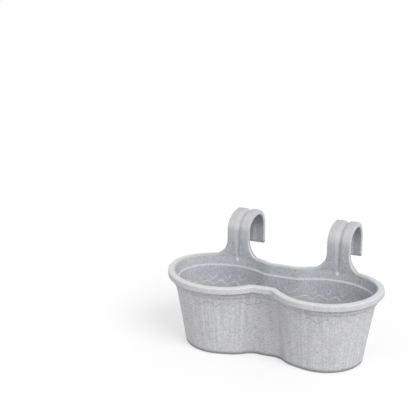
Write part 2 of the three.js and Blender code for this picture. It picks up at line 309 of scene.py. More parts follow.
# What the material reads at a point: its shares of the inside, of a painted highlight and of the outer
# wall, how much painted shade it has (a painted highlight below 0) and how coarse its grain
Skin = namedtuple("Skin", "inner pale wall shade grain", defaults=(0, 0, 0, 0, 1))

# A column of the moulding, from the base over the rim to the floor inside. along is its place round
# the rim; side is +1 or -1 near a hook, else 0; offset is its distance from that hook's middle and
# turn how far the concave round beside the hook has turned there, from 0 on the rim to a quarter.
Column = namedtuple("Column", "along side offset turn")

# A ring of the moulding: inset from the rim's edge and height where the rim is plain. Where the rim
# climbs to a hook, climb_inset is its inset, share its place between the foot and the climbing edge,
# lift its least height over the foot and trim its distance in from that edge. zone names its surface.
Ring = namedtuple("Ring", "inset height zone climb_inset share lift trim", defaults=(None, 0, 0, 0))


def smooth_step(value):
    """0 below 0, 1 above 1 and a smooth ramp between."""
    held = min(max(value, 0.0), 1.0)
    return held * held * (3 - 2 * held)


def between(low, high, share):
    """The value that lies this share of the way from low to high."""
    return low + (high - low) * share


def spot(point, digits):
    """Where a point lies seen from above, rounded so that two points at one place compare equal."""
    return round(point.x, digits), round(point.y, digits)


def arc(centre_x, centre_y, radius, start, end, steps):
    """Points of an arc, both ends included."""
    angles = np.linspace(start, end, steps + 1)
    return np.column_stack([centre_x + radius * np.cos(angles), centre_y + radius * np.sin(angles)])


def leg_heights(start, end):
    """Heights down or up a straight leg of a hook, both ends included."""
    return np.linspace(start, end, round(abs(end - start) / LEG_STEP) + 1)


class RimLine:
    """The rim's edge seen from above, walked anticlockwise from the middle of the front waist."""

    def __init__(self, pot):
        self.radius = -POT_LOW.y
        self.offset = POT_HIGH.x - self.radius
        squeeze = POT_HIGH.y / self.radius
        front = self.waist(pot.front_waist, pot.front_waist_fillet)
        back = self.waist(pot.back_waist / squeeze, pot.back_waist_fillet)
        front_steps, back_steps = WAIST_LINE_STEPS
        half = np.concatenate([
            [[0, -pot.front_waist]],
            arc(front[0], -front[1], pot.front_waist_fillet, QUARTER_TURN, front[2], front_steps),
            arc(self.offset, 0, self.radius, front[2] - math.pi, 0, POT_LINE_STEPS)[1:],
            arc(self.offset, 0, self.radius, 0, math.pi - back[2], POT_LINE_STEPS)[1:] * [1, squeeze],
            arc(back[0], back[1], pot.back_waist_fillet, -back[2], -QUARTER_TURN, back_steps)[1:]
            * [1, squeeze],
            [[0, pot.back_waist]],
        ])
        self.points = np.concatenate([half, half[-2::-1] * [-1, 1]])
        steps = np.hypot(*np.diff(self.points, axis=0).T)
        self.walked = np.concatenate([[0], np.cumsum(steps)])
        self.length = self.walked[-1]
        self.half = len(half)

    def waist(self, depth, fillet):
        """Where a flat waist at this depth meets a pot through a fillet, and the angle there."""
        reach = self.radius + fillet
        x = self.offset - math.sqrt(reach ** 2 - (depth + fillet) ** 2)
        y = depth + fillet
        return x, y, math.atan2(y, self.offset - x)

    def edge(self, along):
        """The point on the rim's edge after this way round."""
        way = along % self.length
        return Vector([np.interp(way, self.walked, across) for across in self.points.T])

    def point(self, along, inset):
        """A point in from the rim's edge, seen from above."""
        ahead = self.edge(along + DIRECTION_REACH) - self.edge(along - DIRECTION_REACH)
        ahead.normalize()
        return self.edge(along) + Vector((-ahead.y, ahead.x)) * float(inset)

    def back_way(self, x):
        """The way round to the point of the back edge that has this x."""
        back = (self.points[:, 1] > 0) & (np.arange(len(self.points)) < self.half)
        order = np.argsort(self.points[back, 0])
        return float(np.interp(x, self.points[back, 0][order], self.walked[back][order]))


class Moulding:
    """Where every point of the pot and its hooks lies."""

    def __init__(self, pot, hook, relief):
        self.pot = pot
        self.hook = hook
        self.relief = relief
        self.line = RimLine(pot)
        self.hook_x = (HOOK_LOW.x + HOOK_HIGH.x) / 2
        self.hook_half = (HOOK_HIGH.x - HOOK_LOW.x) / 2
        self.stem_top = pot.rim_top + hook.stem_fillet
        self.neck_foot = pot.rim_top - pot.step_depth
        self.wall_top = self.neck_foot - pot.step_slope
        self.step_top = pot.rim_top - pot.neck_depth
        self.step_foot = self.step_top - pot.step_slope
        self.columns = self.all_columns()
        self.rings = [*self.outside_rings(), *self.crown_rings(), *self.inside_rings()]
        zones = [ring.zone for ring in self.rings]
        self.back_row = zones.index("back_edge")
        self.front_row = zones.index("front_edge")
        self.last_row = len(self.rings) - 1
        self.tip_station = len(self.hook_stations())  # the last before the tip's own ring

    def stem_offsets(self):
        """Columns across a hook, closer together where the channel turns."""
        hook = self.hook
        step = hook.channel_lip / (CHANNEL_STEPS - 1)
        face = np.linspace(self.hook_half, hook.channel_lip + step, FACE_STEPS + 1)
        half = [*face, *np.linspace(hook.channel_lip, 0, CHANNEL_STEPS)]
        return half + [-offset for offset in reversed(half[:-1])]

    def all_columns(self):
        """The columns from the front's middle round the right pot to the back, and their mirrors."""
        line = self.line
        reach = self.hook_half + self.hook.stem_fillet
        first = line.back_way(self.hook_x + reach)
        last = line.back_way(self.hook_x - reach)
        half = []
        for along in np.linspace(0, first, round(first / PLAIN_STEP), endpoint=False):
            half.append(Column(float(along), 0, 0, 0))
        turns = [QUARTER_TURN * k / FILLET_STEPS for k in range(FILLET_STEPS)]
        spots = [(self.hook_half + self.hook.stem_fillet * (1 - math.sin(turn)), turn) for turn in turns]
        spots += [(offset, QUARTER_TURN) for offset in self.stem_offsets()]
        spots += [(-offset, turn) for offset, turn in reversed(spots[:FILLET_STEPS])]
        for offset, turn in spots:
            half.append(Column(line.back_way(self.hook_x + offset), 1, offset, turn))
        rest = line.length / 2 - last
        steps = round(rest / PLAIN_STEP)
        for k in range(1, steps + 1):
            half.append(Column(last + rest * k / steps, 0, 0, 0))
        mirrored = [Column(line.length - c.along, -c.side, -c.offset, c.turn) for c in half[-2:0:-1]]
        return half + mirrored

    def outer_wall(self, height):
        """Inset of the outside of the wall."""
        top = self.pot.neck_inset + self.pot.step_width
        return self.pot.base_inset + (top - self.pot.base_inset) * height / self.wall_top

    def inner_wall(self, height):
        """Inset of the inside of the wall."""
        pot = self.pot
        foot = pot.base_inset + pot.wall
        return foot + (pot.rim_width + pot.mouth_draft + pot.ledge_width - foot) * height / self.wall_top

    def fullness(self, edge, height):
        """How far the front wall stands forward of its inset: most at the foot of the waist."""
        if edge.y > 0:
            return 0
        near = smooth_step(1 - abs(edge.x) / self.pot.waist_reach)
        return self.pot.waist_fullness * near * max(1 - height / self.wall_top, 0)

    def relief_heights(self, low, high):
        """Rows close together across the arches and scallops and wider apart below them."""
        fine_low = self.relief.row - ROW_MARGIN
        below = np.linspace(low, fine_low, PLAIN_ROWS, endpoint=False)
        across = np.linspace(fine_low, high, round((high - fine_low) / WALL_STEP) + 1)
        return np.concatenate([below, across])

    def rounding(self, x, y, radius, start, end, steps, zone):
        """Rings of a rounded edge, without the first."""
        return [Ring(inset, height, zone) for inset, height in arc(x, y, radius, start, end, steps)[1:]]

    def outside_rings(self):
        """Rings from the standing face up to the outer edge of the rim's crown."""
        pot = self.pot
        lip_foot = pot.rim_top - pot.rim_height
        under = pot.rim_top - pot.lip_wall
        soft = LIP_CHAMFER
        base = arc(
            self.outer_wall(pot.base_rounding) + pot.base_rounding, pot.base_rounding, pot.base_rounding,
            -QUARTER_TURN, -math.pi, BASE_STEPS,
        )
        rings = [Ring(inset, height, "base") for inset, height in base]
        heights = self.relief_heights(pot.base_rounding, self.step_foot)[1:]
        rings += [Ring(self.outer_wall(z), z, "wall") for z in heights]
        step = self.outer_wall(self.step_foot) - pot.neck_inset
        for k in range(1, STEP_RINGS + 1):
            share = k / STEP_RINGS
            inset = pot.neck_inset + step * (1 - smooth_step(share))
            rings.append(Ring(inset, self.step_foot + pot.step_slope * share, "neck"))
        for share in NECK_SHARES:
            rings.append(Ring(pot.neck_inset, between(self.step_top, lip_foot, share), "neck"))
        rings.append(Ring(pot.neck_inset, under - soft, "neck"))
        rings.append(Ring(pot.neck_inset - soft, under, "lip"))
        rings.append(Ring(pot.lip_wall + soft, under, "lip"))
        rings.append(Ring(pot.lip_wall, under - soft, "lip"))
        rings.append(Ring(pot.lip_wall, lip_foot + soft / 2, "lip"))
        rings.append(Ring(pot.lip_wall - soft / 2, lip_foot, "lip"))
        low = pot.lip_rounding
        start = -QUARTER_TURN - LIP_START
        rings += self.rounding(low, lip_foot + low, low, start, -math.pi, LIP_STEPS, "lip")
        high = pot.rim_rounding
        rings.append(Ring(0, (lip_foot + low + pot.rim_top - high) / 2, "lip"))
        rings.append(Ring(0, pot.rim_top - high, "lip"))
        rings += self.rounding(high, pot.rim_top - high, high, math.pi, QUARTER_TURN, EDGE_STEPS, "lip")
        return rings

    def crown_rings(self):
        """Rings over the rim's crown, which open into a hook where the rim climbs to one."""
        pot = self.pot
        back = pot.rim_width - self.hook.thickness
        edge = self.hook.edge
        top = pot.rim_top
        width = pot.rim_width
        first = pot.rim_rounding
        last = width - pot.rim_rounding
        flat = np.linspace(first, last, CROWN_STEPS + 1)[1:]
        lower, upper = STEM_SHARES
        rings = [
            Ring(flat[0], top, "crown", back - STEM_FOOT, 0, 0),
            Ring(flat[1], top, "crown", back - STEM_FOOT_MIDDLE, 0, STEM_FOOT_MIDDLE),
            Ring(flat[2], top, "crown", back, 0, STEM_FOOT),
            Ring(flat[3], top, "crown", back, lower, STEM_FOOT, edge),
            Ring(flat[4], top, "crown", back, upper, STEM_FOOT, edge),
            Ring(flat[5], top, "back_edge", back, 1, 0, edge),
            Ring(flat[6], top, "painted_groove", back + edge, 1),
            Ring(flat[7], top, "painted_groove", (back + width) / 2, 1),
            Ring(flat[8], top, "crown", width - edge, 1),
        ]
        turns = np.linspace(QUARTER_TURN, 0, EDGE_STEPS + 1)
        shares = np.linspace(1, 0, EDGE_STEPS + 1)
        for k, (turn, share) in enumerate(zip(turns, shares)):
            inset = last + pot.rim_rounding * math.cos(turn)
            height = top - pot.rim_rounding * (1 - math.sin(turn))
            rings.append(Ring(inset, height, "front_edge" if k == 0 else "mouth", width, share, 0, edge))
        return rings

    def inside_rings(self):
        """Rings from the rim's inner edge down the mouth, over the ledge and down to the floor."""
        pot = self.pot
        mouth = pot.rim_width + pot.mouth_draft
        mouth_top = pot.rim_top - pot.rim_rounding
        rings = []
        heights = [self.hook.gate_height + step for step in MARK_ROWS]
        heights += [self.neck_foot + step for step in MOUTH_ROWS]
        for height in heights:
            share = (mouth_top - height) / (mouth_top - self.neck_foot)
            rings.append(Ring(pot.rim_width + pot.mouth_draft * share, height, "mouth"))
        end = mouth + pot.ledge_width
        rings.append(Ring(mouth + LEDGE_START, self.neck_foot, "ledge"))
        rings.append(Ring(end - LEDGE_TURN, self.wall_top + LEDGE_TURN_HEIGHT, "ledge"))
        rings.append(Ring(end - LEDGE_END, self.wall_top, "ledge"))
        fillet_top = pot.floor_top + pot.floor_fillet
        heights = self.relief_heights(fillet_top, self.wall_top - WALL_HEAD)[::-1]
        rings += [Ring(self.inner_wall(z), z, "inner") for z in heights]
        rings += self.rounding(
            self.inner_wall(fillet_top) + pot.floor_fillet, fillet_top, pot.floor_fillet,
            -math.pi, -QUARTER_TURN, BASE_STEPS, "floor",
        )
        return rings

    def scallop_turn(self, along):
        """Place round the rim counted in scallops from the middle of the front, alike on both sides."""
        way = min(along, self.line.length - along)
        return way / self.line.length * self.relief.count

    def scallop(self, along):
        """How far a scallop hangs down here, from 0 between two to 1 in the middle of one."""
        return 1 - abs(2 * (self.scallop_turn(along) % 1) - 1) ** SCALLOP_BEND

    def arch(self, along):
        """How far an arch rises here, from 0 at its foot under a scallop to 1 at its top."""
        return 1 - abs(2 * ((self.scallop_turn(along) + 0.5) % 1) - 1) ** SCALLOP_BEND

    def carving(self, along, height, feet):
        """Depth of the flutes in the wall. Each ends in a small step under its arch."""
        relief = self.relief
        arch = self.arch(along)
        below = feet + relief.rise * arch - height
        skin = smooth_step(0.5 - below / relief.edge)
        low = smooth_step((height - self.pot.base_rounding) / relief.fade)
        return (1 - skin) * low * (relief.step + relief.flute * arch)

    def channel(self, offset, height):
        """Depth of the channel in a hook's face. It starts narrow and shallow at the foot."""
        hook = self.hook
        grown = smooth_step((height - hook.channel_foot) / (hook.channel_full - hook.channel_foot))
        started = smooth_step((height - hook.channel_foot) / hook.channel_run)
        deep = started * between(hook.channel_least, 1, grown)
        lip = hook.channel_lip * between(hook.channel_narrow, 1, grown)
        across = (lip - abs(offset)) / (lip - hook.channel_bed)
        return deep * hook.channel_depth * min(max(across, 0), 1)

    def gate(self, offset, height):
        """How far the moulding mark at a hook's foot stands out, from 0 to 1."""
        distance = math.hypot(offset, height - self.hook.gate_height) / self.hook.gate_mark
        return math.exp(-distance ** 2)

    def climbing(self, ring, column):
        """A point of the rim's crown where it climbs to a hook."""
        pot = self.pot
        rise = self.hook.stem_fillet * (1 - math.cos(column.turn))
        foot = pot.rim_top if ring.climb_inset < pot.rim_width else pot.rim_top - pot.rim_rounding
        edge_height = pot.rim_top + rise - ring.trim * math.cos(column.turn)
        height = max(foot + ring.lift, between(foot, edge_height, ring.share))
        offset = column.offset
        if abs(offset) >= self.hook_half - NEAR:
            offset -= math.copysign(ring.trim * math.sin(column.turn) * ring.share, offset)
        blend = smooth_step(rise / CLIMB_BLEND)
        inset = between(ring.inset, ring.climb_inset, blend)
        height = between(ring.height + rise * ring.share, height, blend)
        offset = between(column.offset, offset, blend)
        if ring.climb_inset >= pot.rim_width:
            inset -= self.channel(offset, height)
        way = self.line.back_way(self.hook_x + offset)
        curved = self.line.point(way, inset)
        straight = Vector((self.hook_x + offset, HOOK_LOW.y + pot.rim_width - inset))
        climbed = (height - pot.rim_top) / (STRAIGHT_SHARE * self.hook.stem_fillet)
        flat = curved.lerp(straight, smooth_step(climbed))
        return Vector((flat.x, flat.y, height))

    def place(self, row, index):
        """The point of a ring on a column."""
        ring = self.rings[row]
        column = self.columns[index]
        if ring.climb_inset is not None and column.side:
            right = column._replace(offset=column.offset * column.side)
            point = self.climbing(ring, right)
            return Vector((point.x * column.side, point.y, point.z))
        inset = ring.inset
        if ring.zone in ("base", "wall", "inner", "floor"):
            inset -= self.fullness(self.line.edge(column.along), ring.height)
        if ring.zone in ("wall", "inner"):
            feet = self.relief.arches if ring.zone == "wall" else self.relief.row
            inset += self.carving(column.along, ring.height, feet)
        if ring.zone == "mouth" and column.side:
            inset -= self.channel(column.offset, ring.height)
            inset += self.gate(column.offset, ring.height) * self.hook.gate_rise
        flat = self.line.point(column.along, inset)
        return Vector((flat.x, flat.y, ring.height))

    def hook_stations(self):
        """The outer line of a hook, from the stem over the arch to the tip: y, z and the way it looks."""
        hook = self.hook
        radius = (HOOK_HIGH.y - HOOK_LOW.y - hook.arch_land) / 2
        heights = leg_heights(self.stem_top, HOOK_HIGH.z - hook.arch_front)[1:-1]
        stations = [(HOOK_LOW.y, z, -1, 0) for z in heights]
        halves = (
            (HOOK_LOW.y + radius, hook.arch_front, math.pi, QUARTER_TURN),
            (HOOK_HIGH.y - radius, hook.arch_back, QUARTER_TURN, 0),
        )
        for middle, height, start, end in halves:
            for angle in np.linspace(start, end, ARCH_STEPS + 1):
                out = Vector((math.cos(angle) / radius, math.sin(angle) / height)).normalized()
                z = HOOK_HIGH.z - height * (1 - math.sin(angle))
                stations.append((middle + radius * math.cos(angle), z, out.x, out.y))
        for z in leg_heights(HOOK_HIGH.z - hook.arch_back, HOOK_LOW.z + hook.tip_chamfer)[1:]:
            stations.append((HOOK_HIGH.y, z, 1, 0))
        return stations

    def hook_section(self, row, index):
        """Place of a point of the hook's ring across the hook, and its depth below the outer face."""
        hook = self.hook
        column = self.columns[index]
        offset = column.offset * column.side
        corner = abs(offset) >= self.hook_half - NEAR
        if row in (self.back_row, self.front_row):
            if corner:
                offset -= math.copysign(hook.edge, offset)
            return offset, 0 if row == self.front_row else hook.thickness
        depth = self.pot.rim_width - self.rings[row].climb_inset
        return offset, depth

    def hook_place(self, row, index, station, tip):
        """The point of a hook's ring at a station."""
        y, z, out_y, out_z = station
        hook = self.hook
        offset, depth = self.hook_section(row, index)
        if row in (self.back_row, self.front_row):
            depth += self.channel(offset, z if out_y < 0 else hook.channel_full)
        if tip:
            depth = max(min(depth, hook.thickness - hook.tip_chamfer), TIP_EDGE)
            offset -= math.copysign(min(abs(offset), TIP_EDGE), offset)
        x = self.columns[index].side * (self.hook_x + offset)
        return Vector((x, y - depth * out_y, z - depth * out_z))


def deselect_all():
    """Leaves object mode's selection empty, the frame's nodes too."""
    bpy.ops.object.select_all(action="DESELECT")


def cut_with_cylinder(target, radius, x, y, low, high):
    """Cuts an upright cylinder out of a piece."""
    deselect_all()
    bpy.ops.mesh.primitive_cylinder_add(
        vertices=CIRCLE_STEPS, radius=radius, depth=high - low, location=(x, y, (low + high) / 2)
    )
    cutter = bpy.context.object
    deselect_all()
    bpy.context.view_layer.objects.active = target
    cut = target.modifiers.new("Cut", "BOOLEAN")
    cut.operation = "DIFFERENCE"
    cut.solver = "EXACT"
    cut.object = cutter
    bpy.ops.object.modifier_apply(modifier=cut.name)
    bpy.data.objects.remove(cutter)


def pot_middles():
    """The middle of each pot seen from above: the drain plugs' places."""
    x = (PLUG_LOW.x + PLUG_HIGH.x) / 2
    y = (PLUG_LOW.y + PLUG_HIGH.y) / 2
    return [(side * x, y) for side in (-1, 1)]


def floor_plate(moulding):
    """The floor between its inner and its standing face, with the recesses and the drain holes."""
    pot = moulding.pot
    count = len(moulding.columns)
    deselect_all()
    bpy.ops.mesh.primitive_circle_add(vertices=count, radius=POT_HIGH.x, fill_type="NGON")
    plate = bpy.context.object
    bpy.ops.object.mode_set(mode="EDIT")
    bpy.ops.mesh.select_all(action="SELECT")
    bm = bmesh.from_edit_mesh(plate.data)
    for vert in bm.verts:
        vert.co = moulding.place(0, vert.index)
    bmesh.update_edit_mesh(plate.data)
    bpy.ops.mesh.extrude_region_move(TRANSFORM_OT_translate={"value": (0, 0, pot.floor_top)})
    bm = bmesh.from_edit_mesh(plate.data)
    lower = {spot(v.co, PLATE_DIGITS): v.index for v in bm.verts if v.co.z < pot.floor_top / 2}
    for vert in bm.verts:
        if vert.co.z > pot.floor_top / 2:
            vert.co = moulding.place(moulding.last_row, lower[spot(vert.co, PLATE_DIGITS)])
    bpy.ops.mesh.select_all(action="SELECT")
    bpy.ops.mesh.normals_make_consistent(inside=False)
    bpy.ops.object.mode_set(mode="OBJECT")
    for x, y in pot_middles():
        cut_with_cylinder(plate, pot.recess_radius, x, y, -pot.recess_depth, pot.recess_depth)
        cut_with_cylinder(plate, pot.drain_radius, x, y, 0, 2 * pot.floor_top)
    return plate


def open_plate_edge(plate, moulding):
    """Takes the plate's outer side away and numbers the columns on its lower edge."""
    top = moulding.pot.floor_top
    columns = range(len(moulding.columns))
    spots = {spot(moulding.place(0, index), CUT_DIGITS): index for index in columns}
    bm = bmesh.from_edit_mesh(plate.data)
    for name in NUMBERS:
        bm.verts.layers.int.new(name)
    for face in bm.faces:
        heights = [vert.co.z for vert in face.verts]
        face.select_set(min(heights) < FLAT and max(heights) > top - FLAT)
    bpy.ops.mesh.delete(type="ONLY_FACE")
    bpy.ops.mesh.select_all(action="DESELECT")
    bm = bmesh.from_edit_mesh(plate.data)
    column_layer = bm.verts.layers.int["column"]
    loose = [edge for edge in bm.edges if not edge.link_faces]
    bmesh.ops.delete(bm, geom=loose, context="EDGES")
    for vert in bm.verts:
        vert[column_layer] = NO_COLUMN
    for edge in bm.edges:
        if edge.is_boundary and all(vert.co.z < FLAT for vert in edge.verts):
            edge.select_set(True)
            for vert in edge.verts:
                vert[column_layer] = spots[spot(vert.co, CUT_DIGITS)]
    bmesh.update_edit_mesh(plate.data)


def extrude_ring(piece, number, layer_name, place):
    """Extrudes the selected ring of edges, numbers the new ring and lays its points in place."""
    bpy.ops.mesh.extrude_region_move()
    bm = bmesh.from_edit_mesh(piece.data)
    column_layer = bm.verts.layers.int["column"]
    row_layer = bm.verts.layers.int["row"]
    layer = bm.verts.layers.int[layer_name]
    for vert in bm.verts:
        if vert.select:
            vert[layer] = number
            vert.co = place(vert[row_layer], vert[column_layer])
    bmesh.update_edit_mesh(piece.data, loop_triangles=False, destructive=False)


def close_on_floor(piece):
    """Joins the last ring to the plate's upper edge."""
    bm = bmesh.from_edit_mesh(piece.data)
    for edge in bm.edges:
        edge.select_set(edge.is_boundary)
    bmesh.update_edit_mesh(piece.data)
    bpy.ops.mesh.remove_doubles(threshold=WELD)


def open_crown(piece, moulding, side):
    """Opens the rim's crown under one hook and selects the edge of the opening."""
    bpy.ops.mesh.select_all(action="DESELECT")
    bm = bmesh.from_edit_mesh(piece.data)
    column_layer = bm.verts.layers.int["column"]
    row_layer = bm.verts.layers.int["row"]
    half = moulding.hook_half + NEAR

    def under_hook(vert):
        column = moulding.columns[vert[column_layer]]
        crown = moulding.back_row <= vert[row_layer] <= moulding.front_row
        return crown and column.side == side and abs(column.offset) <= half

    for face in bm.faces:
        face.select_set(all(under_hook(vert) for vert in face.verts))
    bpy.ops.mesh.delete(type="FACE")
    bm = bmesh.from_edit_mesh(piece.data)
    for edge in bm.edges:
        edge.select_set(edge.is_boundary)
    bmesh.update_edit_mesh(piece.data)


def grow_hook(piece, moulding, side):
    """Extrudes one hook out of the rim's crown and closes its tip."""
    open_crown(piece, moulding, side)
    stations = moulding.hook_stations()
    stations.append((HOOK_HIGH.y, HOOK_LOW.z, 1, 0))
    for number, station in enumerate(stations, 1):
        tip = number == len(stations)
        extrude_ring(
            piece, number, "station",
            lambda row, index: moulding.hook_place(row, index, station, tip),
        )
    bpy.ops.mesh.edge_face_add()


def tone_rise(height):
    """How far a hook's face has gone over from the inside's darker tone, a painted shade, to the
    outside's at this height.
    """
    return smooth_step((height - TONE_START) / (TONE_END - TONE_START))


def hook_skin(moulding, row, station, height):
    """The skin of a point on a hook, with painted shade on its lower face, inside its arch and at its
    tip.
    """
    up = tone_rise(height)
    tip = TIP_SHADE if station >= moulding.tip_station else 0
    if row == moulding.front_row:
        return Skin(inner=1 - up, shade=tip, grain=between(HOOK_FOOT_GRAIN, HOOK_TOP_GRAIN, up))
    # Painted shade inside the arch, deepening towards its top
    if row == moulding.back_row:
        return Skin(inner=1, shade=max(tip, between(HOOK_INSIDE_SHADE, HOOK_CROWN_SHADE, up)))
    return Skin(inner=FLANK_INSIDE, shade=tip, grain=HOOK_TOP_GRAIN)


def rim_skin(moulding, ring, column, height):
    """The skin of a point on the rim, its neck or its mouth, with its painted highlights and painted
    shade.
    """
    pot = moulding.pot
    if ring.zone == "neck":
        # Painted shadow of the lip over the neck's upper half, and a painted shade line at the step below
        up = (ring.height - moulding.step_top) / (pot.rim_top - pot.rim_height - moulding.step_top)
        shadow = smooth_step(2 * up - 1)
        step = 1 - smooth_step(STEP_FADE * up)
        return Skin(wall=NECK_WALL, shade=STEP_SHADE * step + NECK_SHADE * shadow)
    if ring.zone == "lip":
        # Painted shade along the lip's lower edge, painted highlight over its upper round
        foot = ring.height < pot.rim_top - pot.rim_height + pot.lip_rounding / 2
        crest = smooth_step((ring.height - pot.rim_top) / RIM_HIGHLIGHT_DEPTH + 1)
        return Skin(pale=RIM_HIGHLIGHT * crest, shade=LIP_SHADE if foot else 0, grain=RIM_GRAIN)
    if ring.zone in ("mouth", "front_edge"):
        gate = moulding.gate(column.offset, ring.height) if column.side else 0
        # The inside's darker tone, a painted shade, begins across the rim's inner round and fades out up
        # a hook's face
        if column.side and height > pot.rim_top:
            inner = 1 - tone_rise(height)
        else:
            inner = smooth_step((ring.inset - pot.rim_width) / pot.rim_rounding + 1)
        # The moulding mark gets a painted highlight: the pale colour and a negative shade
        return Skin(inner=inner, pale=gate, shade=-GATE_LIGHT * gate)
    if ring.zone == "painted_groove":
        # A painted shade line along the middle of the back rim, with painted highlight towards the front
        back = moulding.line.edge(column.along).y / POT_HIGH.y
        behind = smooth_step(back * GROOVE_GROWTH - GROOVE_START)
        return Skin(pale=RIM_HIGHLIGHT * (1 - behind), shade=GROOVE_SHADE * behind, grain=RIM_GRAIN)
    # Painted highlight over the rim's top
    return Skin(pale=RIM_HIGHLIGHT, grain=RIM_GRAIN)


def surface_skin(moulding, row, index, station, height):
    """The skin of any point of the moulding, with its painted highlights and painted shade."""
    pot = moulding.pot
    ring = moulding.rings[row]
    if station:
        return hook_skin(moulding, row, station, height)
    if ring.zone in ("inner", "floor"):
        return Skin(inner=1)
    if ring.zone == "ledge":
        # Painted highlight along the ledge inside, where its edge catches the light
        return Skin(inner=1, pale=LEDGE_HIGHLIGHT)
    if ring.zone == "base":
        # Painted shade on the base edge
        return Skin(shade=BASE_SHADE)
    if ring.zone == "wall":
        # Painted shade at the wall's foot, a painted shade line at the step under the neck, and painted
        # shade in the waist's hollow
        edge = moulding.line.edge(moulding.columns[index].along)
        waist = smooth_step(1 - abs(edge.x) / pot.waist_reach)
        foot = 1 - smooth_step((height - pot.base_rounding) / FOOT_RUN)
        head = smooth_step((height - moulding.step_foot) / WALL_STEP + 1)
        return Skin(wall=1, shade=FOOT_SHADE * foot + STEP_SHADE * head + WAIST_SHADE * waist)
    return rim_skin(moulding, ring, moulding.columns[index], height)


def paint_skin(piece, moulding):
    """Stores what the material reads at every point: its skin with its painted highlights and painted
    shade, its place round the rim, its marks.
    """
    bm = bmesh.new()
    bm.from_mesh(piece.data)
    layers = bm.verts.layers
    zones = layers.float_vector.new("zones")
    flow = layers.float_vector.new("flow")
    marks = layers.float_vector.new("marks")
    shade_and_grain = layers.float_vector.new("shade_and_grain")
    column_layer, row_layer, station_layer = (layers.int[name] for name in NUMBERS)
    inside_floor = moulding.pot.floor_top / 2
    for vert in bm.verts:
        if vert[column_layer] == NO_COLUMN:
            vert[zones] = (1 if vert.co.z > inside_floor else 0, 0, 0)
            vert[flow] = vert.co
            vert[shade_and_grain] = (0, 1, 0)
            continue
        column = vert[column_layer]
        along = moulding.columns[column].along
        skin = surface_skin(moulding, vert[row_layer], column, vert[station_layer], vert.co.z)
        edge = moulding.line.edge(along)
        vert[zones] = (skin.inner, skin.pale, skin.wall)
        vert[flow] = (edge.x, edge.y, vert.co.z)
        vert[marks] = (moulding.scallop(along), moulding.arch(along), 0)
        vert[shade_and_grain] = (skin.shade, skin.grain, 0)
    for name in NUMBERS:
        layers.int.remove(layers.int[name])
    bm.to_mesh(piece.data)
    bm.free()


def add_node(tree, kind, settings=None, links=None):
    """Adds a node, sets its sockets and options, and links its inputs."""
    node = tree.nodes.new(kind)
    for name, value in (settings or {}).items():
        if isinstance(name, int) or name in node.inputs:
            node.inputs[name].default_value = value
        else:
            setattr(node, name, value)
    for name, source in (links or {}).items():
        tree.links.new(source, node.inputs[name])
    return node


def new_material(name):
    """An empty node material with its output."""
    material = bpy.data.materials.new(name)
    material.use_nodes = True
    material.node_tree.nodes.clear()
    output = material.node_tree.nodes.new("ShaderNodeOutputMaterial")
    return material, material.node_tree, output


def pattern_scale(pattern_size):
    """How many times a pattern of this size repeats in a metre, to a whole number."""
    return round(1 / pattern_size)


